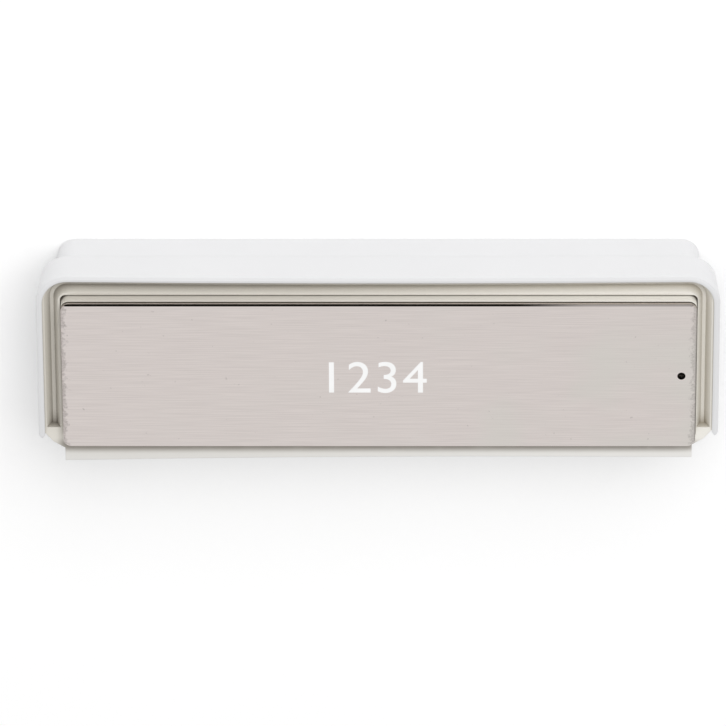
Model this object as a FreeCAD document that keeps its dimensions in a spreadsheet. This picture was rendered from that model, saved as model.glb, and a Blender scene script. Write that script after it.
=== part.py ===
"""Name badge: a brushed metal name plate on a thin carrier, seated in a white moulded housing.

Millimetres. The badge lies on its back: X runs along its length, Y up the face, Z out of the face.
The origin is the middle of the footprint, on the plane that the back rests on.
"""

import FreeCAD, Part
import os

import Sketcher

# Driving sizes. Heights on the face are counted from the middle of the plate.
SIZES = {
    # name plate and the carrier behind it
    "plate_long": 70.0,
    "plate_tall": 18.2,
    "plate_thick": 0.75,
    "plate_corner": 0.9,
    "plate_edge": 0.12,
    "carrier_thick": 1.75,
    "seam": 0.05,
    "hole_across": 0.9,
    "hole_inset": 1.63,
    "insert_shift": 0.1,
    # depths
    "body_deep": 4.7,
    "flange_deep": 5.0,
    "rim_stand": 0.35,
    "seat_deep": 0.6,
    "front_wall": 1.3,
    # outline of the flange and of its rim
    "face_lift": 0.17,
    "rim_gap": 2.0,
    "rim_wall": 0.7,
    "rim_corner": 2.8,
    "rim_edge": 0.45,
    "draft": 0.35,
    "top_bow": 0.22,
    "tip_low": 8.7,
    "tip_corner": 0.3,
    "tip_taper": 0.3,
    "skew": 0.4,
    # groove inside the rim, and the low lip that holds the carrier
    "seat_gap": 0.1,
    "seat_corner": 0.6,
    "lip_flat": 0.15,
    "lip_slope": 0.5,
    "groove_deep": 1.15,
    "groove_floor": 0.4,
    "groove_slope": 0.62,
    "groove_low": 7.82,
    # floor between the rim's ends, and the sill under the plate
    "floor_half": 36.95,
    "floor_high": 8.22,
    "floor_low": 9.25,
    "floor_corner": 0.5,
    "floor_neck": 36.1,
    "sill_half": 34.8,
    "sill_neck": 10.07,
    "sill_low": 11.7,
    "sill_bow": 0.25,
    "sill_thick": 2.2,
    # narrower box behind the flange, hollow and open at the back
    "body_inset": 1.8,
    "body_step": 0.4,
    "body_low": 11.2,
    "body_corner": 2.0,
    "body_edge": 0.4,
    "body_wall": 1.5,
    "hollow_corner": 0.8,
    # pin clasp inside the hollow
    "clasp_long": 32.0,
    "clasp_wide": 5.0,
    "clasp_bar": 0.8,
    "ear_thick": 1.6,
    "ear_wide": 3.2,
    "clasp_sunk": 0.9,
    "pin_across": 0.9,
}

# Places worked out from the sizes. The face's own middle is lifted by face_lift above the footprint's.
PLACES = {
    "plate_half": "Sizes.plate_long / 2",
    "plate_left": "Sizes.insert_shift - plate_half",
    "plate_right": "Sizes.insert_shift + plate_half",
    "plate_top": "Sizes.face_lift + Sizes.plate_tall / 2",
    "plate_foot": "Sizes.face_lift - Sizes.plate_tall / 2",
    "hole_place": "plate_right - Sizes.hole_inset",
    "flange_back": "Sizes.body_deep",
    "rim_front": "Sizes.body_deep + Sizes.flange_deep",
    "floor_level": "rim_front - Sizes.rim_stand",
    "seat_level": "floor_level - Sizes.seat_deep",
    "hollow_deep": "seat_level - Sizes.front_wall",
    "carrier_level": "seat_level + Sizes.seam",
    "sheet_level": "carrier_level + Sizes.carrier_thick + Sizes.seam",
    "rim_half": "plate_half + Sizes.rim_gap",
    "rim_top": "plate_top + Sizes.rim_gap",
    "flange_half": "rim_half + Sizes.rim_wall",
    "flange_top": "rim_top + Sizes.rim_wall",
    "flange_corner": "Sizes.rim_corner + Sizes.rim_wall",
    "shoulder_level": "rim_front - Sizes.rim_edge",
    "round_inset": "Sizes.rim_edge * (1 - cos(45 deg))",
    "round_level": "rim_front - round_inset",
    "round_half": "flange_half - round_inset",
    "round_top": "flange_top - round_inset",
    "round_corner": "flange_corner - round_inset",
    "front_half": "flange_half - Sizes.rim_edge",
    "front_top": "flange_top - Sizes.rim_edge",
    "front_corner": "flange_corner - Sizes.rim_edge",
    "back_half": "flange_half - Sizes.draft",
    "back_top": "flange_top - Sizes.draft",
    "back_corner": "flange_corner - Sizes.draft",
    "tip_right": "Sizes.face_lift - Sizes.tip_low",
    "tip_left": "tip_right - Sizes.skew",
    "bow_curve": "(pow(rim_half; 2) + pow(Sizes.top_bow; 2)) / (2 * Sizes.top_bow)",
    "below_all": "Sizes.face_lift - 2 * Sizes.sill_low",
    "floor_end": "Sizes.face_lift - Sizes.floor_high",
    "floor_end_left": "floor_end - Sizes.skew",
    "floor_foot": "Sizes.face_lift - Sizes.floor_low",
    "floor_foot_left": "floor_foot - Sizes.skew",
    "neck_foot": "Sizes.face_lift - Sizes.sill_neck",
    "neck_foot_left": "neck_foot - Sizes.skew",
    "taper_half": "rim_half + Sizes.tip_taper",
    "sill_foot": "Sizes.face_lift - Sizes.sill_low",
    "sill_foot_left": "sill_foot - Sizes.skew",
    "sill_curve": "(pow(Sizes.sill_half; 2) + pow(Sizes.sill_bow; 2)) / (2 * Sizes.sill_bow)",
    "sill_level": "floor_level - Sizes.sill_thick",
    "seat_half": "plate_half + Sizes.seat_gap",
    "seat_left": "plate_left - Sizes.seat_gap",
    "seat_right": "plate_right + Sizes.seat_gap",
    "seat_top": "plate_top + Sizes.seat_gap",
    "seat_foot": "plate_foot - Sizes.seat_gap",
    "lip_half": "seat_half + Sizes.lip_flat",
    "valley_half": "lip_half + Sizes.lip_slope + Sizes.groove_floor / 2",
    "valley_top": "rim_top - Sizes.seam - Sizes.groove_slope - Sizes.groove_floor / 2",
    "valley_corner": "Sizes.rim_corner - rim_half + valley_half",
    "valley_curve": "(pow(valley_half; 2) + pow(Sizes.top_bow; 2)) / (2 * Sizes.top_bow)",
    "groove_foot": "Sizes.face_lift - Sizes.groove_low",
    "groove_open": "floor_level + Sizes.rim_stand / 2",
    "groove_level": "floor_level - Sizes.groove_deep",
    "valley_outer": "valley_half + Sizes.groove_floor / 2",
    "groove_outer": "valley_outer + Sizes.groove_slope",
    "valley_inner": "valley_half - Sizes.groove_floor / 2",
    "body_half": "back_half - Sizes.body_inset",
    "body_top": "back_top - Sizes.body_step",
    "body_foot": "Sizes.face_lift - Sizes.body_low",
    "hollow_half": "body_half - Sizes.body_wall",
    "hollow_top": "body_top - Sizes.body_wall",
    "hollow_foot": "body_foot + Sizes.body_wall",
}

ORIGIN = -1
START, END, CENTRE = 1, 2, 3


def make_sheets(doc):
    """The sheet of driving sizes, and beside it the sheet of places worked out from them."""
    sizes = doc.addObject("Spreadsheet::Sheet", "Sizes")
    for row, (alias, value) in enumerate(SIZES.items(), start=1):
        sizes.set(f"A{row}", alias.replace("_", " "))
        sizes.set(f"B{row}", str(value))
        sizes.setAlias(f"B{row}", alias)
    doc.recompute()
    places = doc.addObject("Spreadsheet::Sheet", "Places")
    for row, (alias, formula) in enumerate(PLACES.items(), start=1):
        places.set(f"A{row}", alias.replace("_", " "))
        places.set(f"B{row}", f"={formula}")
        places.setAlias(f"B{row}", alias)
    doc.recompute()


def value(doc, name):
    """The number in a cell of either sheet, negative where the name starts with a minus."""
    plain = name.lstrip("-")
    sheet = doc.Places if plain in PLACES else doc.Sizes
    number = float(sheet.get(plain))
    return -number if name.startswith("-") else number


def formula(name):
    """The same cell as an expression."""
    plain = name.lstrip("-")
    sheet = "Places" if plain in PLACES else "Sizes"
    return f"-{sheet}.{plain}" if name.startswith("-") else f"{sheet}.{plain}"


def new_body(doc, label):
    body = doc.addObject("PartDesign::Body", label)
    body.Label = label
    return body


def new_sketch(body, name, level, role="XY_Plane"):
    """A sketch on one of the body's own planes, moved along the plane's normal to a level."""
    sketch = body.newObject("Sketcher::SketchObject", name)
    plane = next(item for item in body.Origin.OriginFeatures if item.Role == role)
    sketch.AttachmentSupport = [(plane, "")]
    sketch.MapMode = "FlatFace"
    if level:
        sketch.setExpression("AttachmentOffset.Base.z", formula(level))
    body.Document.recompute()
    return sketch


def bind(sketch, index, name):
    sketch.setExpression(f"Constraints[{index}]", formula(name))


def pin_point(sketch, geometry, position, across, up):
    """Holds one point of a sketch at the two cells given."""
    doc = sketch.Document
    for kind, name in (("DistanceX", across), ("DistanceY", up)):
        rule = Sketcher.Constraint(kind, ORIGIN, 1, geometry, position, value(doc, name))
        bind(sketch, sketch.addConstraint(rule), name)


def nearer_end(sketch, geometry, point):
    """Which end of an edge lies at a point: an arc's ends follow its own direction."""
    start = sketch.getPoint(geometry, START)
    end = sketch.getPoint(geometry, END)
    return START if start.distanceToPoint(point) < end.distanceToPoint(point) else END


def draw_outline(sketch, corners, bows=None, closed=True):
    """Draws straight or bowed sides between corners, each given as (across, up, radius or None).

    Bows maps a side's number to (radius of its curve, which way it bulges): +1 is to the left.
    """
    doc = sketch.Document
    bows = bows or {}
    count = len(corners)
    points = [FreeCAD.Vector(value(doc, x), value(doc, y), 0) for x, y, _ in corners]
    arrive, leave, middles = [], [], []
    for i, (_, _, radius) in enumerate(corners):
        if radius is None:
            arrive.append(points[i])
            leave.append(points[i])
            middles.append(None)
            continue
        size = value(doc, radius)
        back = (points[i - 1] - points[i]).normalize()
        ahead = (points[(i + 1) % count] - points[i]).normalize()
        bisector = (back + ahead).normalize()
        cosine = bisector.dot(ahead)
        sine = (1 - cosine**2) ** 0.5
        arrive.append(points[i] + back * (size * cosine / sine))
        leave.append(points[i] + ahead * (size * cosine / sine))
        middles.append(points[i] + bisector * (size / sine - size))
    sides = []
    for i in range(count if closed else count - 1):
        start, end = leave[i], arrive[(i + 1) % count]
        if i in bows:
            curve, bulge = bows[i]
            chord = end - start
            sagitta = chord.Length**2 / (8 * value(doc, curve))
            across = FreeCAD.Vector(-chord.y, chord.x, 0).normalize()
            middle = (start + end) / 2 + across * (sagitta * bulge)
            sides.append(sketch.addGeometry(Part.Arc(start, middle, end), False))
            rule = Sketcher.Constraint("Radius", sides[-1], value(doc, curve))
            bind(sketch, sketch.addConstraint(rule), curve)
        else:
            sides.append(sketch.addGeometry(Part.LineSegment(start, end), False))
    for i, (across, up, radius) in enumerate(corners):
        before = sides[i - 1] if closed or i > 0 else None
        after = sides[i] if closed or i < count - 1 else None
        if radius is None:
            edge = after if after is not None else before
            pin_point(sketch, edge, nearer_end(sketch, edge, points[i]), across, up)
            if before is not None and after is not None:
                ends = (before, nearer_end(sketch, before, points[i]), after, nearer_end(sketch, after, points[i]))
                sketch.addConstraint(Sketcher.Constraint("Coincident", *ends))
            continue
        corner = sketch.addGeometry(Part.Point(points[i]), True)
        pin_point(sketch, corner, START, across, up)
        for side in (before, after):
            sketch.addConstraint(Sketcher.Constraint("PointOnObject", corner, START, side))
        arc = sketch.addGeometry(Part.Arc(arrive[i], middles[i], leave[i]), False)
        for side, point in ((before, arrive[i]), (after, leave[i])):
            ends = (side, nearer_end(sketch, side, point), arc, nearer_end(sketch, arc, point))
            sketch.addConstraint(Sketcher.Constraint("Tangent", *ends))
        rule = Sketcher.Constraint("Radius", arc, value(doc, radius))
        bind(sketch, sketch.addConstraint(rule), radius)
    doc.recompute()


def draw_circle(sketch, across, up, diameter):
    doc = sketch.Document
    centre = FreeCAD.Vector(value(doc, across), value(doc, up), 0)
    circle = sketch.addGeometry(Part.Circle(centre, FreeCAD.Vector(0, 0, 1), value(doc, diameter) / 2), False)
    rule = Sketcher.Constraint("Diameter", circle, value(doc, diameter))
    bind(sketch, sketch.addConstraint(rule), diameter)
    pin_point(sketch, circle, CENTRE, across, up)
    doc.recompute()


def rectangle(left, right, foot, top, radius):
    """Corners of a rectangle with equal rounded corners, from the lower left, the long way round."""
    return [(left, foot, radius), (right, foot, radius), (right, top, radius), (left, top, radius)]


def grow(body, kind, name, sketch, length, reverse=False):
    """A pad or a pocket of a sketch, checked to have changed the solid."""
    before = body.Shape.Volume if body.Tip and body.Tip.Shape.Solids else 0.0
    feature = body.newObject(f"PartDesign::{kind}", name)
    feature.Profile = sketch
    feature.Reversed = reverse
    feature.setExpression("Length", length)
    body.Document.recompute()
    change = body.Shape.Volume - before
    if (change > 0) != (kind == "Pad"):
        raise ValueError(f"{body.Label} {name}: volume changed by {change:.3f}")
    return feature


def round_edges(body, name, base, radius, wanted):
    """A fillet on the base's edges that the test picks."""
    picked = [f"Edge{i}" for i, edge in enumerate(base.Shape.Edges, start=1) if wanted(edge)]
    fillet = body.newObject("PartDesign::Fillet", name)
    fillet.Base = (base, picked)
    fillet.setExpression("Radius", formula(radius))
    body.Document.recompute()
    return fillet


def flat_at(edge, level):
    return abs(edge.BoundBox.ZMin - level) < 1e-4 and abs(edge.BoundBox.ZMax - level) < 1e-4


def flange_section(body, name, level, size, bowed):
    """One outline of the flange: open corners above, and the rim's two ends below, out of square."""
    sketch = new_sketch(body, name, level)
    outline = [
        (f"-{size}_half", "tip_left", "tip_corner"),
        (f"{size}_half", "tip_right", "tip_corner"),
        (f"{size}_half", f"{size}_top", f"{size}_corner"),
        (f"-{size}_half", f"{size}_top", f"{size}_corner"),
    ]
    draw_outline(sketch, outline, bows={2: ("bow_curve", 1)} if bowed else None)
    return sketch


def housing(doc):
    """White moulded housing: drafted flange with a low rim on three sides, and a hollow box behind it."""
    body = new_body(doc, "housing")

    sections = [
        flange_section(body, "FlangeBack", "flange_back", "back", bowed=False),
        flange_section(body, "FlangeShoulder", "shoulder_level", "flange", bowed=True),
        flange_section(body, "FlangeRound", "round_level", "round", bowed=True),
        flange_section(body, "FlangeFront", "rim_front", "front", bowed=True),
    ]
    flange = body.newObject("PartDesign::AdditiveLoft", "Flange")
    flange.Profile = sections[0]
    flange.Sections = sections[1:]
    flange.Ruled = True
    doc.recompute()

    foot = new_sketch(body, "FootOutline", "rim_front")
    foot_outline = [
        ("-taper_half", "below_all", None),
        ("taper_half", "below_all", None),
        ("taper_half", "tip_right", None),
        ("rim_half", "floor_end", None),
        ("-rim_half", "floor_end_left", None),
        ("-taper_half", "tip_left", None),
    ]
    draw_outline(foot, foot_outline)
    grow(body, "Pocket", "Foot", foot, "2 * Sizes.flange_deep")

    box = new_sketch(body, "BoxOutline", None)
    draw_outline(box, rectangle("-body_half", "body_half", "body_foot", "body_top", "body_corner"))
    shell = grow(body, "Pad", "Box", box, "Sizes.body_deep + Sizes.flange_deep / 2")
    round_edges(body, "BoxEdge", shell, "body_edge", lambda edge: flat_at(edge, 0))

    sill = new_sketch(body, "SillOutline", "sill_level")
    sill_outline = [
        ("-sill_half", "sill_foot_left", None),
        ("sill_half", "sill_foot", None),
        ("sill_half", "neck_foot", None),
        ("floor_neck", "floor_foot", "floor_corner"),
        ("floor_half", "floor_end", "floor_corner"),
        ("floor_half", "groove_foot", None),
        ("-floor_half", "groove_foot", None),
        ("-floor_half", "floor_end_left", "floor_corner"),
        ("-floor_neck", "floor_foot_left", "floor_corner"),
        ("-sill_half", "neck_foot_left", None),
    ]
    draw_outline(sill, sill_outline, bows={0: ("sill_curve", 1)})
    grow(body, "Pad", "Sill", sill, "Sizes.sill_thick")

    recess = new_sketch(body, "RecessOutline", "rim_front")
    recess_outline = [
        ("-rim_half", "below_all", None),
        ("rim_half", "below_all", None),
        ("rim_half", "rim_top", "rim_corner"),
        ("-rim_half", "rim_top", "rim_corner"),
    ]
    draw_outline(recess, recess_outline, bows={2: ("bow_curve", 1)})
    grow(body, "Pocket", "Recess", recess, "Sizes.rim_stand")

    route = new_sketch(body, "GrooveRoute", "groove_level")
    route_outline = [
        ("-valley_half", "groove_foot", None),
        ("-valley_half", "valley_top", "valley_corner"),
        ("valley_half", "valley_top", "valley_corner"),
        ("valley_half", "groove_foot", None),
    ]
    draw_outline(route, route_outline, bows={1: ("valley_curve", -1)}, closed=False)
    cross = new_sketch(body, "GrooveSection", None, role="XZ_Plane")
    cross.setExpression("AttachmentOffset.Base.z", "-Places.groove_foot")
    doc.recompute()
    cross_outline = [
        ("-groove_outer", "groove_open", None),
        ("-groove_outer", "floor_level", None),
        ("-valley_outer", "groove_level", None),
        ("-valley_inner", "groove_level", None),
        ("-lip_half", "floor_level", None),
        ("-lip_half", "groove_open", None),
    ]
    draw_outline(cross, cross_outline)
    groove = body.newObject("PartDesign::SubtractivePipe", "Groove")
    groove.Profile = cross
    groove.Spine = route
    doc.recompute()

    seat = new_sketch(body, "SeatOutline", "floor_level")
    draw_outline(seat, rectangle("seat_left", "seat_right", "seat_foot", "seat_top", "seat_corner"))
    grow(body, "Pocket", "Seat", seat, "Sizes.seat_deep")

    hollow = new_sketch(body, "HollowOutline", None)
    draw_outline(hollow, rectangle("-hollow_half", "hollow_half", "hollow_foot", "hollow_top", "hollow_corner"))
    grow(body, "Pocket", "Hollow", hollow, "Places.hollow_deep", reverse=True)

    hole = new_sketch(body, "HoleOutline", "seat_level")
    draw_circle(hole, "hole_place", "face_lift", "hole_across")
    grow(body, "Pocket", "Hole", hole, "2 * Sizes.front_wall")
    return body


def drilled_plate(doc, label, level, thickness):
    """A thin plate with rounded corners and a small hole near its right end."""
    body = new_body(doc, label)
    outline = new_sketch(body, f"{label}_outline", level)
    draw_outline(outline, rectangle("plate_left", "plate_right", "plate_foot", "plate_top", "plate_corner"))
    slab = grow(body, "Pad", f"{label}_slab", outline, formula(thickness))
    front = value(doc, level) + value(doc, thickness)
    round_edges(body, f"{label}_edge", slab, "plate_edge", lambda edge: flat_at(edge, front))
    drill = new_sketch(body, f"{label}_drill", level)
    draw_circle(drill, "hole_place", "face_lift", "hole_across")
    grow(body, "Pocket", f"{label}_hole", drill, formula(thickness), reverse=True)
    return body


def pin_clasp(doc):
    """Closed pin clasp in one piece: a bar under the front wall, two ears and the pin between them."""
    bar = doc.addObject("Part::Box", "ClaspBar")
    bar.setExpression("Length", "Sizes.clasp_long")
    bar.setExpression("Width", "Sizes.clasp_wide")
    bar.setExpression("Height", "Sizes.clasp_bar")
    bar.setExpression("Placement.Base.x", "-Sizes.clasp_long / 2")
    bar.setExpression("Placement.Base.y", "-Sizes.clasp_wide / 2")
    bar.setExpression("Placement.Base.z", "Places.hollow_deep - Sizes.seam - Sizes.clasp_bar")
    pieces = [bar]
    for side, left in (("Left", "-Sizes.clasp_long / 2"), ("Right", "Sizes.clasp_long / 2 - Sizes.ear_thick")):
        ear = doc.addObject("Part::Box", f"ClaspEar{side}")
        ear.setExpression("Length", "Sizes.ear_thick")
        ear.setExpression("Width", "Sizes.ear_wide")
        ear.setExpression("Height", "Places.hollow_deep - Sizes.seam - Sizes.clasp_sunk - Sizes.clasp_bar / 2")
        ear.setExpression("Placement.Base.x", left)
        ear.setExpression("Placement.Base.y", "-Sizes.ear_wide / 2")
        ear.setExpression("Placement.Base.z", "Sizes.clasp_sunk")
        pieces.append(ear)
    pin = doc.addObject("Part::Cylinder", "ClaspPin")
    pin.setExpression("Radius", "Sizes.pin_across / 2")
    pin.setExpression("Height", "Sizes.clasp_long - Sizes.ear_thick")
    pin.Placement.Rotation = FreeCAD.Rotation(FreeCAD.Vector(0, 1, 0), 90)
    pin.setExpression("Placement.Base.x", "Sizes.ear_thick / 2 - Sizes.clasp_long / 2")
    pin.setExpression("Placement.Base.z", "Sizes.clasp_sunk + Sizes.pin_across")
    pieces.append(pin)
    clasp = doc.addObject("Part::MultiFuse", "pin_clasp")
    clasp.Label = "pin_clasp"
    clasp.Shapes = pieces
    clasp.Refine = True
    doc.recompute()
    return clasp


def check_and_write(doc, parts):
    """Stops on a failed object or a bad solid, then writes one file for each sub-part."""
    for item in doc.Objects:
        failed = [state for state in item.State if state in ("Invalid", "Error")]
        if failed:
            raise ValueError(f"{item.Name}: {failed}")
    os.makedirs("parts", exist_ok=True)
    for part in parts:
        shape = part.Shape
        if shape.isNull() or not shape.isValid() or len(shape.Solids) != 1:
            raise ValueError(f"{part.Label}: bad shape")
        box = shape.BoundBox
        print(f"{part.Label}: {box.XLength:.2f} x {box.YLength:.2f} x {box.ZLength:.2f} mm,", end=" ")
        print(f"y {box.YMin:.2f} to {box.YMax:.2f}, z {box.ZMin:.2f} to {box.ZMax:.2f}, {shape.Volume:.1f} mm3")
    for part in parts:
        part.Shape.exportStep(f"parts/{part.Label}.step")


def main():
    doc = FreeCAD.newDocument("NameBadge")
    make_sheets(doc)
    parts = [
        housing(doc),
        drilled_plate(doc, "carrier", "carrier_level", "carrier_thick"),
        drilled_plate(doc, "name_plate", "sheet_level", "plate_thick"),
        pin_clasp(doc),
    ]
    doc.recompute()
    check_and_write(doc, parts)


main()
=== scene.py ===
# %% [markdown]
# # A moulded name badge
#
# This lesson dresses a finished CAD model of a long name badge. The model already has the right sizes:
# a white housing, a thin cream carrier, a brushed metal name plate and a pin clasp hidden in the back.
# Blender adds what CAD can't hold: the light, the camera, and how each material was made.

# %% Load the fixed frame
import math

import bmesh
import bpy
from mathutils import Matrix, Vector


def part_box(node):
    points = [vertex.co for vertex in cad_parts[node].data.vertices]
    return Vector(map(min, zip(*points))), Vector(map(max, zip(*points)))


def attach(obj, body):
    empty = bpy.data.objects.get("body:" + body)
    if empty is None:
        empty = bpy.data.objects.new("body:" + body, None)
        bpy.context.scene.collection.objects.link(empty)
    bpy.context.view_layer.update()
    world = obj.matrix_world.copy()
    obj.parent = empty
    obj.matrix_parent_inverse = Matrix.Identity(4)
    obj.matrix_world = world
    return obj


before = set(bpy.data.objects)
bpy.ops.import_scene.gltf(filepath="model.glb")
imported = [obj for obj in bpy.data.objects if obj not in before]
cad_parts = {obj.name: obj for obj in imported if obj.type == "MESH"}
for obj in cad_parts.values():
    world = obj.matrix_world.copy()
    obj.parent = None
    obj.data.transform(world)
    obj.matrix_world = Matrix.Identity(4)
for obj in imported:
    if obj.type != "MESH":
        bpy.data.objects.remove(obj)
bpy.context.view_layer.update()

MM = 0.001
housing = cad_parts["housing"]
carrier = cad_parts["carrier"]
name_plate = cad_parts["name_plate"]
pin_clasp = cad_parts["pin_clasp"]
plate_low, plate_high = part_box("name_plate")
housing_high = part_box("housing")[1]

# %% [markdown]
# ## The camera
#
# The badge lies on its back, and the photographer stood at its top edge with a long lens, a metre away
# and 31 degrees off the face's own axis. A long lens keeps the long edges nearly parallel. The camera is
# placed by three unit vectors, so that the badge's length stays level in the picture.

# %% Place the camera
TILT_FROM_FACE = math.radians(31.0)
CAMERA_DISTANCE = 1.0
CAMERA_ACROSS = 6.5 * MM
PIXELS_ACROSS = 726
PIXELS_PER_MM = 9.07
SENSOR_WIDTH = 36.0
AIM = Vector((-1.65 * MM, 1.86 * MM, plate_high.z))

toward_camera = Vector((0, math.sin(TILT_FROM_FACE), math.cos(TILT_FROM_FACE)))
eye = AIM + toward_camera * CAMERA_DISTANCE
eye.x = CAMERA_ACROSS
backward = (eye - AIM).normalized()
rightward = Vector((1, 0, 0))
rightward = (rightward - backward * rightward.dot(backward)).normalized()
upward = backward.cross(rightward)
focal_pixels = PIXELS_PER_MM * (eye - AIM).length / MM

camera = bpy.data.objects.new("camera", bpy.data.cameras.new("camera"))
camera.data.sensor_width = SENSOR_WIDTH
camera.data.lens = SENSOR_WIDTH * focal_pixels / PIXELS_ACROSS
camera.matrix_world = Matrix.Translation(eye) @ Matrix((rightward, upward, backward)).transposed().to_4x4()
bpy.context.scene.collection.objects.link(camera)
bpy.context.scene.camera = camera
print("lens in mm:", round(camera.data.lens, 1))

# %% [markdown]
# ## Colours
#
# Colours are written as hex numbers, the way a paint chip or a colour picker gives them. A renderer works
# in linear light, so one function turns every hex number into linear values.

# %% Turn hex colours into linear light
def linear(hex_colour):
    """An sRGB hex colour as linear red, green, blue and a full alpha."""
    channels = [int(hex_colour[i:i + 2], 16) / 255 for i in (1, 3, 5)]
    return [c / 12.92 if c <= 0.04045 else ((c + 0.055) / 1.055) ** 2.4 for c in channels] + [1.0]


print("mid grey in linear light:", [round(channel, 3) for channel in linear("#808080")])

# %% [markdown]
# ## Nodes
#
# A material is a small tree of nodes. One function adds a node, sets it and links it, so that each
# material below reads as a list of its own layers. Every pattern reads the place of a point in the
# badge's own frame, in metres, so its scale comes straight from a real size.

# %% Add and link nodes
def add_node(material, kind, links=None, **settings):
    """Adds a node, sets its properties or sockets by name, and links sockets to other nodes' outputs."""
    tree = material.node_tree
    made = tree.nodes.new(kind)
    for name, setting in settings.items():
        if hasattr(made, name):
            setattr(made, name, setting)
        else:
            made.inputs[name.replace("_", " ")].default_value = setting
    for name, source in (links or {}).items():
        tree.links.new(source, made.inputs[name])
    return made


def new_material(name):
    """An empty material, with the place of each point in the badge's own frame."""
    material = bpy.data.materials.new(name)
    material.use_nodes = True
    material.node_tree.nodes.clear()
    place = add_node(material, "ShaderNodeTexCoord").outputs["Object"]
    return material, place


def split_place(material, place):
    """The X, Y and Z of each point."""
    return add_node(material, "ShaderNodeSeparateXYZ", {"Vector": place}).outputs


def finish_material(material, surface):
    add_node(material, "ShaderNodeOutputMaterial", {"Surface": surface})
    print(material.name, "has", len(material.node_tree.nodes), "nodes")
    return material


def dress(piece, material):
    """Puts one material on a piece, in place of any that it came with."""
    piece.data.materials.clear()
    piece.data.materials.append(material)


# %% [markdown]
# ## Masks
#
# A mask says where a layer shows: one where it covers and zero where it doesn't. Most masks here are a
# distance from an edge put through a smooth ramp, and where two masks have to hold they are multiplied.

# %% Work out masks
def sum_of(material, operation, first, second):
    """One sum on two values, where either may be a plain number."""
    made = add_node(material, "ShaderNodeMath", operation=operation)
    for socket, term in zip(made.inputs, (first, second)):
        if isinstance(term, (int, float)):
            socket.default_value = term
        else:
            material.node_tree.links.new(term, socket)
    return made.outputs[0]


def fade(material, source, start, end, low=0.0, high=1.0):
    """A smooth ramp: low where the source is at start, high where it is at end."""
    made = add_node(
        material,
        "ShaderNodeMapRange",
        {"Value": source},
        interpolation_type="SMOOTHSTEP",
        From_Min=start,
        From_Max=end,
        To_Min=low,
        To_Max=high,
    )
    return made.outputs["Result"]


def all_of(material, *masks):
    """One only where every mask is one."""
    both = masks[0]
    for mask in masks[1:]:
        both = sum_of(material, "MULTIPLY", both, mask)
    return both


# %% [markdown]
# ## Layers and patterns
#
# A layer is laid over the colour below it by a mask. Natural patterns come from noise: even noise for
# clouds, pits and the blotches in a painted shadow, and noise drawn out along X for anything brushed or
# drawn that way.

# %% Lay colours over each other
def blend(material, factor, under, over):
    """Mixes two colours, each a hex number or another node's output."""
    made = add_node(material, "ShaderNodeMix", {"Factor": factor}, data_type="RGBA")
    sockets = [socket for socket in made.inputs if socket.type == "RGBA"]
    for socket, colour in zip(sockets, (under, over)):
        if isinstance(colour, str):
            socket.default_value = linear(colour)
        else:
            material.node_tree.links.new(colour, socket)
    return next(socket for socket in made.outputs if socket.type == "RGBA")


def noise(material, place, size, detail=2.0, roughness=0.5):
    """Noise from 0 to 1 whose blobs are about one size across."""
    made = add_node(
        material, "ShaderNodeTexNoise", {"Vector": place}, Scale=1 / size, Detail=detail, Roughness=roughness
    )
    return made.outputs["Fac"]


def along_x(material, place, long, wide):
    """Noise drawn out along X: long one way and wide the other."""
    turned = add_node(material, "ShaderNodeMapping", {"Vector": place}, Scale=(1 / long, 1 / wide, 1 / wide))
    return noise(material, turned.outputs["Vector"], 1.0, detail=3.0)


def lengthwise(left, right):
    """A colour that changes from the plate's left end to its right end."""
    def tone(material, place):
        axes = split_place(material, place)
        return blend(material, fade(material, axes["X"], plate_low.x, plate_high.x), left, right)
    return tone


# %% [markdown]
# ## The small hole
#
# A 0.9 mm hole runs through the plate, the carrier and the front wall, so a wire can push or draw the
# insert out. No light comes back from it: its wall is painted almost black in all three materials.

# %% Find the hole
HOLE_PLACE = (33.47 * MM, 0.17 * MM)
HOLE_EDGE = (0.47 * MM, 0.44 * MM)
HOLE_BLACK = "#040303"


def from_hole(material, place):
    """How far a point lies from the hole's axis."""
    axes = split_place(material, place)
    across = sum_of(material, "POWER", sum_of(material, "SUBTRACT", axes["X"], HOLE_PLACE[0]), 2.0)
    up = sum_of(material, "POWER", sum_of(material, "SUBTRACT", axes["Y"], HOLE_PLACE[1]), 2.0)
    return sum_of(material, "SQRT", sum_of(material, "ADD", across, up), 0.0)


def blacken_hole(material, place, colour):
    return blend(material, fade(material, from_hole(material, place), *HOLE_EDGE), colour, HOLE_BLACK)


print("hole from the plate's right side in mm:", round((plate_high.x - HOLE_PLACE[0]) / MM, 2))

# %% [markdown]
# ## Where the housing's inside begins
#
# The outside of the housing stays a clean white. Inside the rim, light is passed from wall to wall and
# comes out warmer each time, so the inside gets a painted tone of its own: painted warm bounce light
# and shade. A mask follows the rim: its height, its rounded upper corners and its open lower side.

# %% Mask the inside of the rim
RIM_CORNER = 2.8 * MM
RIM_CENTRES = (34.2 * MM, 8.47 * MM)
RIM_EDGE = (RIM_CORNER + 0.12 * MM, RIM_CORNER + 0.03 * MM)
RECESS_LOW = 7.0 * MM
LEVEL_BLUR = 0.1 * MM
GROOVE_FOOT = -8.9 * MM
SILL_REACH = 3.0 * MM
SILL_SHARE = 0.5


def past_corner_centres(material, axes):
    """How far a point lies outward from the nearest centre of the rim's rounded corners."""
    across = sum_of(material, "SUBTRACT", sum_of(material, "ABSOLUTE", axes["X"], 0.0), RIM_CENTRES[0])
    up = sum_of(material, "SUBTRACT", axes["Y"], RIM_CENTRES[1])
    outward = [sum_of(material, "MAXIMUM", part, 0.0) for part in (across, up)]
    squares = [sum_of(material, "POWER", part, 2.0) for part in outward]
    return sum_of(material, "SQRT", sum_of(material, "ADD", *squares), 0.0)


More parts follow.
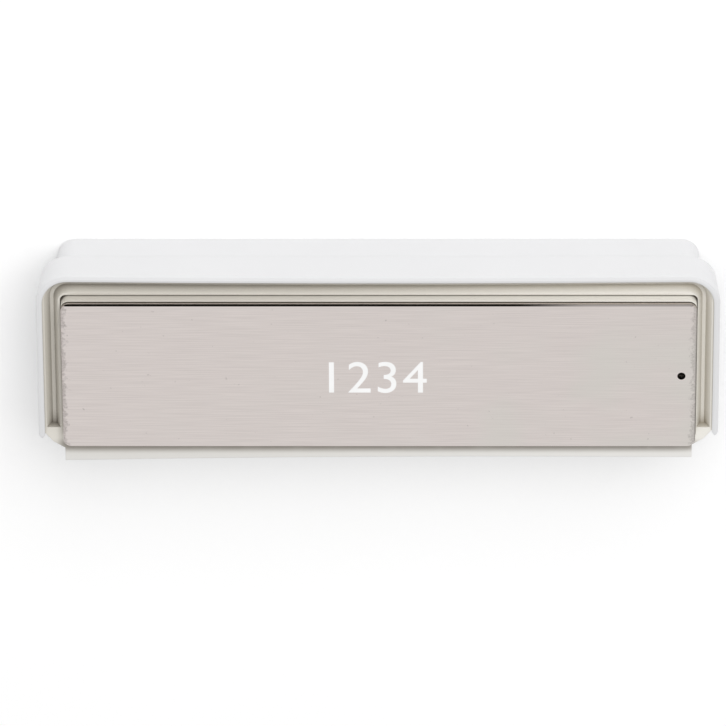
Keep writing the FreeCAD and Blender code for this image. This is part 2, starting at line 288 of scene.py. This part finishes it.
def inside_rim(material, axes, top_level):
    """One inside the rim and below a level, and zero on the outer walls and on the box behind."""
    return all_of(
        material,
        fade(material, axes["Z"], top_level + LEVEL_BLUR, top_level - LEVEL_BLUR),
        fade(material, axes["Z"], RECESS_LOW, RECESS_LOW + 2 * LEVEL_BLUR),
        fade(material, axes["Y"], GROOVE_FOOT - SILL_REACH, GROOVE_FOOT, SILL_SHARE),
        fade(material, past_corner_centres(material, axes), *RIM_EDGE),
    )


print("rim's inner half length in mm:", round((RIM_CENTRES[0] + RIM_CORNER) / MM, 2))

# %% [markdown]
# ## Painted shade in the hollows and a painted shadow on the sill
#
# Grooves are painted darker and warmer than their shape alone makes them: this is painted shade. An
# occlusion node finds such hollows: it is high in the open and low where walls stand close. On the sill
# just below the plate's edge, a soft band of painted shadow deepens the shadow that the plate throws.

# %% Darken the hollows and the sill
GROOVE_REACH = 1.8 * MM
HOLLOW_RANGE = (0.8, -0.1)
# A painted shadow on the sill, just below the plate's edge.
SILL_SHADOW_COLOUR = "#7E7367"
SILL_SHADOW_BLOTCH = 2.5 * MM
SILL_SHADOW_BAND = (-11.1 * MM, -10.2 * MM)
SILL_SHADOW_ENDS = (36.4 * MM, 34.2 * MM)
SILL_SHADOW_SHARE = 0.9
SILL_SHADOW_CONTRAST = {"start": 0.2, "end": 0.6, "low": 0.88, "high": 1.0}
FOOT_BLUR = 1 * MM
OCCLUSION_SAMPLES = 12


# Painted shade: where walls stand close, the colour turns toward the hollow shade tone.
def painted_hollow_shade(material, place, mask, colour, hollow_shade):
    hidden = add_node(
        material, "ShaderNodeAmbientOcclusion", samples=OCCLUSION_SAMPLES, Distance=GROOVE_REACH
    )
    depth = fade(material, hidden.outputs["AO"], *HOLLOW_RANGE)
    return blend(material, all_of(material, mask, depth), colour, hollow_shade(material, place))


# Paints a soft shadow band on the sill below the plate.
def painted_sill_shadow(material, place, axes, mask, colour):
    painted_shadow = all_of(
        material,
        fade(material, axes["Y"], *SILL_SHADOW_BAND, 0.0, SILL_SHADOW_SHARE),
        fade(material, noise(material, place, SILL_SHADOW_BLOTCH), **SILL_SHADOW_CONTRAST),
        fade(material, axes["Y"], GROOVE_FOOT, GROOVE_FOOT - FOOT_BLUR),
        fade(material, sum_of(material, "ABSOLUTE", axes["X"], 0.0), *SILL_SHADOW_ENDS),
        mask,
    )
    return blend(material, painted_shadow, colour, SILL_SHADOW_COLOUR)


print("dust line's width in mm:", round((SILL_SHADOW_BAND[1] - SILL_SHADOW_BAND[0]) / MM, 2))

# %% [markdown]
# ## Moulded plastic
#
# The housing and the carrier are injection-moulded. A spark-eroded mould leaves a grain of about a tenth
# of a millimetre that turns gloss into satin. Moulded edges are never sharp: the steel's corners are a
# little round, so each edge carries a thin soft highlight. Both pieces share one recipe, and only their
# tones and their polish differ.

# %% Build the plastic's surface
GRAIN_SIZE = 0.14 * MM
GRAIN_HEIGHT = 0.006 * MM
GRAIN_STRENGTH = 0.25
SOFT_EDGE = 0.1 * MM
EDGE_SAMPLES = 6
PLASTIC_IOR = 1.5


def grained(material, place):
    """The mould's grain, laid over edges that are a little round."""
    soft_edge = add_node(material, "ShaderNodeBevel", Radius=SOFT_EDGE, samples=EDGE_SAMPLES)
    bump = add_node(
        material,
        "ShaderNodeBump",
        {"Height": noise(material, place, GRAIN_SIZE), "Normal": soft_edge.outputs["Normal"]},
        Strength=GRAIN_STRENGTH,
        Distance=GRAIN_HEIGHT,
    )
    return bump.outputs["Normal"]


def moulded_plastic(name, outside, inside, hollow_shade, top_level, roughness):
    material, place = new_material(name)
    axes = split_place(material, place)
    mask = inside_rim(material, axes, top_level)
    # The inside tone is painted warm bounce light and shade.
    colour = blend(material, mask, outside(material, place), inside(material, place))
    # Painted shade in the hollows.
    colour = painted_hollow_shade(material, place, mask, colour, hollow_shade)
    # A painted shadow on the sill below the plate.
    colour = painted_sill_shadow(material, place, axes, mask, colour)
    colour = blacken_hole(material, place, colour)
    plastic = add_node(
        material,
        "ShaderNodeBsdfPrincipled",
        {"Base Color": colour, "Normal": grained(material, place)},
        Roughness=roughness,
        IOR=PLASTIC_IOR,
    )
    return finish_material(material, plastic.outputs["BSDF"])


print("grain size in mm:", round(GRAIN_SIZE / MM, 2))

# %% [markdown]
# ## The white ABS housing
#
# The housing is white ABS. Its white is never quite even, so it drifts between two close tones. Inside
# the rim, and most of all in its groove, the left end is painted darker than the right one: painted shade,
# since the light comes from the right and the insert shades the left side.

# %% Dress the housing
ABS_WHITE = "#E4E4E5"
ABS_CLOUD_TINT = "#E1E1E2"
# Painted shade at the left end and painted light at the right end of the inside.
ABS_INSIDE_SHADED_LEFT = "#E5E1D8"
ABS_INSIDE_LIT_RIGHT = "#F6F3EC"
# Painted shade in the hollows, darker at the left end.
ABS_HOLLOW_SHADE_LEFT = "#4B3E2A"
ABS_HOLLOW_SHADE_RIGHT = "#877B63"
ABS_ROUGHNESS = 0.42
CLOUD_SIZE = 9.0 * MM
# The painted inside tone stops this far below the rim's top.
INSIDE_TONE_DROP = 0.2 * MM


def clouded(pale, cloud):
    """A colour that drifts a little between two tones."""
    return lambda material, place: blend(material, noise(material, place, CLOUD_SIZE), pale, cloud)


white_abs = moulded_plastic(
    "white_abs",
    clouded(ABS_WHITE, ABS_CLOUD_TINT),
    lengthwise(ABS_INSIDE_SHADED_LEFT, ABS_INSIDE_LIT_RIGHT),
    lengthwise(ABS_HOLLOW_SHADE_LEFT, ABS_HOLLOW_SHADE_RIGHT),
    housing_high.z - INSIDE_TONE_DROP,
    ABS_ROUGHNESS,
)
dress(housing, white_abs)

# %% [markdown]
# ## The cream carrier
#
# The thin layer behind the metal is a cream plastic with a slightly smoother face. Only its edge shows,
# as a pale strip around the plate. Its left end is painted a little darker as painted shade, since the
# light comes from the right.

# %% Dress the carrier
# Painted shade at the left end and painted light at the right end.
CREAM_SHADED_LEFT = "#DAD5CC"
CREAM_LIT_RIGHT = "#F1EEE6"
# Painted shade in the carrier's hollows.
CREAM_HOLLOW_SHADE = "#84796B"
CREAM_ROUGHNESS = 0.38
cream = lengthwise(CREAM_SHADED_LEFT, CREAM_LIT_RIGHT)
cream_hollow_shade = lengthwise(CREAM_HOLLOW_SHADE, CREAM_HOLLOW_SHADE)
cream_plastic = moulded_plastic("cream_plastic", cream, cream, cream_hollow_shade, plate_high.z, CREAM_ROUGHNESS)
dress(carrier, cream_plastic)

# %% [markdown]
# ## Brushed metal
#
# The plate was brushed along its length with a fine belt. Each grit leaves a scratch about a tenth of a
# millimetre wide and many millimetres long, so the pattern is noise stretched along X. The same noise
# drives colour and height, because a scratch changes both at once. Toward the lower right the sheet has
# gone greyer in patches, and a few specks of tarnish lie all over it.

# %% Brush the sheet
SHEET_PALE = "#F4EBE7"
SHEET_DARK = "#EAE1DD"
SHEET_GREY = "#EBE8E1"
STAIN = "#6B625C"
SCRATCH_LONG = 6.0 * MM
SCRATCH_WIDE = 0.09 * MM
SCRATCH_CONTRAST = (0.3, 0.7)
PATCH_SIZE = 7.5 * MM
PATCH_CONTRAST = (0.35, 0.68)
PATCH_FROM_LEFT = {"start": -8 * MM, "end": 22 * MM, "low": 0.1, "high": 0.65}
PATCH_FROM_TOP = {"start": 8 * MM, "end": 2 * MM, "low": 0.25, "high": 1.0}
SPECK_SIZE = 0.55 * MM
SPECK_CONTRAST = {"start": 0.7, "end": 0.8, "low": 0.0, "high": 0.25}


def brushed_tone(material, place, axes, scratch):
    colour = blend(material, fade(material, scratch, *SCRATCH_CONTRAST), SHEET_DARK, SHEET_PALE)
    greyer = all_of(
        material,
        fade(material, noise(material, place, PATCH_SIZE, detail=1.0), *PATCH_CONTRAST),
        fade(material, axes["X"], **PATCH_FROM_LEFT),
        fade(material, axes["Y"], **PATCH_FROM_TOP),
    )
    colour = blend(material, greyer, colour, SHEET_GREY)
    speck = noise(material, place, SPECK_SIZE, detail=3.0)
    return blend(material, fade(material, speck, **SPECK_CONTRAST), colour, STAIN)


print("scratches across the plate:", round((plate_high.y - plate_low.y) / SCRATCH_WIDE))

# %% [markdown]
# ## Worn borders
#
# Years of handling show at the border. The left and right sides are pitted and stained in ragged bands,
# finely stippled by corrosion. The sheared right side ends in a thin dark line, and the upper edge's
# rounding is darker, fading out toward the right.

# %% Wear the plate's borders
# The upper edge's rounding is darker, fading out toward the right.
TOP_EDGE_DARK = "#1A1613"
PIT_SIZE = 0.5 * MM
PIT_DEEP = 2.0 * MM
PIT_START = 0.68 * MM
PIT_ROUGHNESS = 0.7
STIPPLE_SIZE = 0.16 * MM
STIPPLE_CONTRAST = {"start": 0.35, "end": 0.65, "low": 0.5, "high": 1.0}
BAND_BLUR = 0.5 * MM
RIGHT_BAND = {"start": -0.35 * MM, "share": 0.34}
LEFT_BAND = {"start": -0.3 * MM, "share": 0.42}
SHEARED_LINE = {"start": 0.16 * MM, "end": 0.05 * MM, "low": 0.0, "high": 0.5}
TOP_EDGE_ALONG = {"start": 15 * MM, "end": 24 * MM, "low": 1.0, "high": 0.45}
TOP_EDGE_WIDE = (0.2 * MM, 0.14 * MM)
ROUNDING = 0.2 * MM


def stained_sides(material, place, left, right, colour):
    pits = noise(material, place, PIT_SIZE, roughness=PIT_ROUGHNESS)
    ragged = sum_of(material, "MULTIPLY", pits, PIT_DEEP)
    reach = sum_of(material, "SUBTRACT", ragged, PIT_START)
    stipple = fade(material, noise(material, place, STIPPLE_SIZE), **STIPPLE_CONTRAST)
    for side, band_sizes in ((right, RIGHT_BAND), (left, LEFT_BAND)):
        inward = sum_of(material, "SUBTRACT", reach, side)
        start = band_sizes["start"]
        band = fade(material, inward, start, start + BAND_BLUR, 0.0, band_sizes["share"])
        colour = blend(material, all_of(material, band, stipple), colour, STAIN)
    return blend(material, fade(material, right, **SHEARED_LINE), colour, STAIN)


# Darkens the rounding of the upper edge, less toward the right.
def darkened_top_edge(material, axes, top, colour):
    rounding = plate_high.z - ROUNDING
    dark_edge = all_of(
        material,
        fade(material, axes["X"], **TOP_EDGE_ALONG),
        fade(material, top, *TOP_EDGE_WIDE),
        fade(material, axes["Z"], rounding - LEVEL_BLUR / 2, rounding),
    )
    return blend(material, dark_edge, colour, TOP_EDGE_DARK)


print("widest stained band in mm:", round((PIT_DEEP - PIT_START - RIGHT_BAND["start"]) / MM, 2))

# %% [markdown]
# ## The hole's ring and the glued edge
#
# The drill has polished a narrow bright ring around the hole. Below, dark adhesive has crept up the
# lowest third of a millimetre of the sheet's edge, and there the surface isn't metal any more.

# %% Ring the hole and glue the edge
ADHESIVE = "#4C443B"
ADHESIVE_THICK = 0.3 * MM
ADHESIVE_BLUR = 0.03 * MM
RING = {"start": 0.72 * MM, "end": 0.5 * MM, "low": 0.0, "high": 0.5}


def ringed_hole(material, place, colour):
    ring = fade(material, from_hole(material, place), **RING)
    return blacken_hole(material, place, blend(material, ring, colour, SHEET_PALE))


def glue_mask(material, axes):
    glue_line = plate_low.z + ADHESIVE_THICK
    return fade(material, axes["Z"], glue_line + ADHESIVE_BLUR, glue_line - ADHESIVE_BLUR)


print("sheet's thickness in mm:", round((plate_high.z - plate_low.z) / MM, 2))

# %% [markdown]
# ## The finished sheet
#
# The layers are put together in the order in which they came about: brushing, stains, the darker upper
# edge, hole and glue. Metal keeps the shader's own index of refraction, and its colour is the colour of
# its reflection.

# %% Dress the name plate
SHEET_ROUGHNESS = 0.36
SCRATCH_HEIGHT = 0.003 * MM
SCRATCH_STRENGTH = 0.15


def brushed_sheet(name):
    material, place = new_material(name)
    axes = split_place(material, place)
    left = sum_of(material, "SUBTRACT", axes["X"], plate_low.x)
    right = sum_of(material, "SUBTRACT", plate_high.x, axes["X"])
    top = sum_of(material, "SUBTRACT", plate_high.y, axes["Y"])
    scratch = along_x(material, place, SCRATCH_LONG, SCRATCH_WIDE)
    colour = brushed_tone(material, place, axes, scratch)
    colour = stained_sides(material, place, left, right, colour)
    colour = darkened_top_edge(material, axes, top, colour)
    colour = ringed_hole(material, place, colour)
    glued = glue_mask(material, axes)
    bump = add_node(
        material, "ShaderNodeBump", {"Height": scratch}, Strength=SCRATCH_STRENGTH, Distance=SCRATCH_HEIGHT
    )
    metal = add_node(
        material,
        "ShaderNodeBsdfPrincipled",
        {
            "Base Color": blend(material, glued, colour, ADHESIVE),
            "Metallic": sum_of(material, "SUBTRACT", 1.0, glued),
            "Normal": bump.outputs["Normal"],
        },
        Roughness=SHEET_ROUGHNESS,
    )
    return finish_material(material, metal.outputs["BSDF"])


dress(name_plate, brushed_sheet("brushed_sheet"))

# %% [markdown]
# ## The clasp
#
# The pin clasp is drawn from nickel-plated steel wire and strip. Nobody sees it from the front, so it
# gets a plain finish: fine drawing lines along its length and a slightly warm grey.

# %% Dress the clasp
NICKEL_PALE = "#D9D6D0"
NICKEL_DARK = "#C4C1BB"
NICKEL_ROUGHNESS = 0.28
DRAWN_LONG = 6 * MM
DRAWN_WIDE = 0.2 * MM
DRAWN_HEIGHT = 0.003 * MM
DRAWN_STRENGTH = 0.2


def drawn_nickel(name):
    material, place = new_material(name)
    lines = along_x(material, place, DRAWN_LONG, DRAWN_WIDE)
    bump = add_node(
        material, "ShaderNodeBump", {"Height": lines}, Strength=DRAWN_STRENGTH, Distance=DRAWN_HEIGHT
    )
    metal = add_node(
        material,
        "ShaderNodeBsdfPrincipled",
        {"Base Color": blend(material, lines, NICKEL_DARK, NICKEL_PALE), "Normal": bump.outputs["Normal"]},
        Metallic=1.0,
        Roughness=NICKEL_ROUGHNESS,
    )
    return finish_material(material, metal.outputs["BSDF"])


dress(pin_clasp, drawn_nickel("nickel_plated_steel"))

# %% [markdown]
# ## Plain numbers on the plate
#
# A badge says who wears it. Here four plain figures stand in that place, cut into the sheet with a
# small cutter and filled with white enamel. They start as text in the built-in typeface. The text is
# given a thickness and turned into a mesh, because a mesh can be scaled to its real size point by point.

# %% Write the figures
FIGURES = "1234"
LETTER_SPACING = 1.08
CURVE_STEPS = 8


def written_figures():
    """The figures as a mesh, in the typeface's own units."""
    curve = bpy.data.curves.new("figures_curve", "FONT")
    curve.body = FIGURES
    curve.resolution_u = CURVE_STEPS
    curve.space_character = LETTER_SPACING
    curve.extrude = 0.5
    written = bpy.data.objects.new("figures_curve", curve)
    bpy.context.scene.collection.objects.link(written)
    bpy.context.view_layer.update()
    data = bpy.data.meshes.new_from_object(written)
    bpy.data.objects.remove(written)
    return data


figures_mesh = written_figures()
print("points in the figures:", len(figures_mesh.vertices))

# %% [markdown]
# ## Lay the figures in the plate
#
# The enamel is flush with the metal, so it is a thin layer whose face stands a few thousandths of a
# millimetre proud. Its points are moved to their real places, doubled points are merged, and the faces
# are turned outward.

# %% Scale and lay the figures
FIGURES_SIZE = Vector((10.8 * MM, 4.0 * MM, 0.02 * MM))
ENAMEL_PROUD = 0.004 * MM
FIGURES_MIDDLE = Vector((-0.02 * MM, 0.0, plate_high.z + ENAMEL_PROUD - FIGURES_SIZE.z / 2))
MERGE_WITHIN = 0.0005 * MM


def scale_to_size(data, size, middle):
    low = Vector([min(v.co[i] for v in data.vertices) for i in range(3)])
    high = Vector([max(v.co[i] for v in data.vertices) for i in range(3)])
    for vertex in data.vertices:
        share = [(vertex.co[i] - low[i]) / (high[i] - low[i]) - 0.5 for i in range(3)]
        vertex.co = middle + Vector([share[i] * size[i] for i in range(3)])


def clean_mesh(data):
    shape = bmesh.new()
    shape.from_mesh(data)
    bmesh.ops.remove_doubles(shape, verts=shape.verts, dist=MERGE_WITHIN)
    bmesh.ops.recalc_face_normals(shape, faces=shape.faces)
    shape.to_mesh(data)
    shape.free()


scale_to_size(figures_mesh, FIGURES_SIZE, FIGURES_MIDDLE)
clean_mesh(figures_mesh)
figures = bpy.data.objects.new("enamel_figures", figures_mesh)
bpy.context.scene.collection.objects.link(figures)
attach(figures, "root")
print("enamel faces:", len(figures_mesh.polygons))

# %% [markdown]
# ## White enamel
#
# Enamel is glass that is melted into the cut. It is smoother than the metal, with a faint waviness from
# the melt, and its white is a little uneven.

# %% Dress the figures
ENAMEL_TINT = "#F7F7F6"
ENAMEL_WHITE = "#FFFFFF"
ENAMEL_ROUGHNESS = 0.3
ENAMEL_IOR = 1.52
TINT_SIZE = 1.2 * MM
WAVE_SIZE = 0.4 * MM
WAVE_HEIGHT = 0.004 * MM
WAVE_STRENGTH = 0.1


def white_enamel(name):
    material, place = new_material(name)
    waves = noise(material, place, WAVE_SIZE)
    bump = add_node(
        material, "ShaderNodeBump", {"Height": waves}, Strength=WAVE_STRENGTH, Distance=WAVE_HEIGHT
    )
    colour = blend(material, noise(material, place, TINT_SIZE), ENAMEL_TINT, ENAMEL_WHITE)
    glass = add_node(
        material,
        "ShaderNodeBsdfPrincipled",
        {"Base Color": colour, "Normal": bump.outputs["Normal"]},
        Roughness=ENAMEL_ROUGHNESS,
        IOR=ENAMEL_IOR,
    )
    return finish_material(material, glass.outputs["BSDF"])


dress(figures, white_enamel("white_enamel"))

# %% [markdown]
# ## The table
#
# A pale sweep of matt card lies under the badge. It is one flat square, large enough to fill the picture
# from every side, and its white has faint clouds in it, as pressed paper has.

# %% Lay the floor
FLOOR_REACH = 3.0
CARD_TINT = "#FDFDFD"
CARD_WHITE = "#FFFFFF"
CARD_CLOUD = 40 * MM


def floor_card():
    shape = bmesh.new()
    bmesh.ops.create_grid(shape, x_segments=1, y_segments=1, size=FLOOR_REACH)
    data = bpy.data.meshes.new("floor")
    shape.to_mesh(data)
    shape.free()
    card = bpy.data.objects.new("floor", data)
    bpy.context.scene.collection.objects.link(card)
    return card


def matt_card(name):
    material, place = new_material(name)
    colour = blend(material, noise(material, place, CARD_CLOUD), CARD_TINT, CARD_WHITE)
    paper = add_node(material, "ShaderNodeBsdfDiffuse", {"Color": colour})
    return finish_material(material, paper.outputs["BSDF"])


floor = floor_card()
dress(floor, matt_card("matt_card"))
print("floor across in m:", 2 * FLOOR_REACH)

# %% [markdown]
# ## The lamps
#
# The key lamp hangs above the badge's top edge, halfway up the sky and a little to the right, and draws
# the short dark shadow under the plate. A wide wash lights the card alone, so the shadow that the badge
# throws there stays pale and soft, as it does on a lit table. Metal is a mirror first, and the key's
# glare would drown the brushing when the badge is seen from its lower side. So the plate is left out of
# the key's light, and a weak sheen stands where the plate's mirror image looks and keeps it bright.

# %% Hang the lamps
LAMP_AWAY = 1.1
LIT_BY_KEY = [housing, carrier, pin_clasp, figures]
FACE = [name_plate, figures]
LAMPS = (
    {"name": "key", "direction": (0.17, 0.63, 0.76), "size": 0.34, "watts": 4.6, "lit": LIT_BY_KEY},
    {"name": "wash", "direction": (0.22, 0.62, 0.74), "size": 1.1, "watts": 7.9, "lit": [floor]},
    {"name": "sheen", "direction": (0, -0.515, 0.857), "size": 1.3, "watts": 0.42, "lit": FACE},
)


def soft_lamp(name, direction, size, watts, lit):
    """A square lamp aimed at the badge, which lights only the pieces given."""
    outward = Vector(direction).normalized()
    lamp = bpy.data.objects.new(name, bpy.data.lights.new(name, "AREA"))
    lamp.data.shape = "SQUARE"
    lamp.data.size = size
    lamp.data.energy = watts
    lamp.location = outward * LAMP_AWAY
    lamp.rotation_euler = outward.to_track_quat("Z", "Y").to_euler()
    bpy.context.scene.collection.objects.link(lamp)
    receivers = bpy.data.collections.new(name + "_receivers")
    for piece in lit:
        receivers.objects.link(piece)
    lamp.light_linking.receiver_collection = receivers


for lamp_sizes in LAMPS:
    soft_lamp(**lamp_sizes)
print("lamps:", [lamp_sizes["name"] for lamp_sizes in LAMPS])

# %% [markdown]
# ## The room
#
# White walls all around send back an even light, which fills the grooves and the shadows. The picture
# is shown with the plain Standard view, so that white card comes out white.

# %% Fill the room with light
ROOM_LIGHT = 0.67
room = bpy.data.worlds.new("room")
room.use_nodes = True
walls = room.node_tree.nodes["Background"]
walls.inputs["Color"].default_value = linear("#FFFFFF")
walls.inputs["Strength"].default_value = ROOM_LIGHT
bpy.context.scene.world = room
bpy.context.scene.view_settings.view_transform = "Standard"
print("room light:", ROOM_LIGHT)
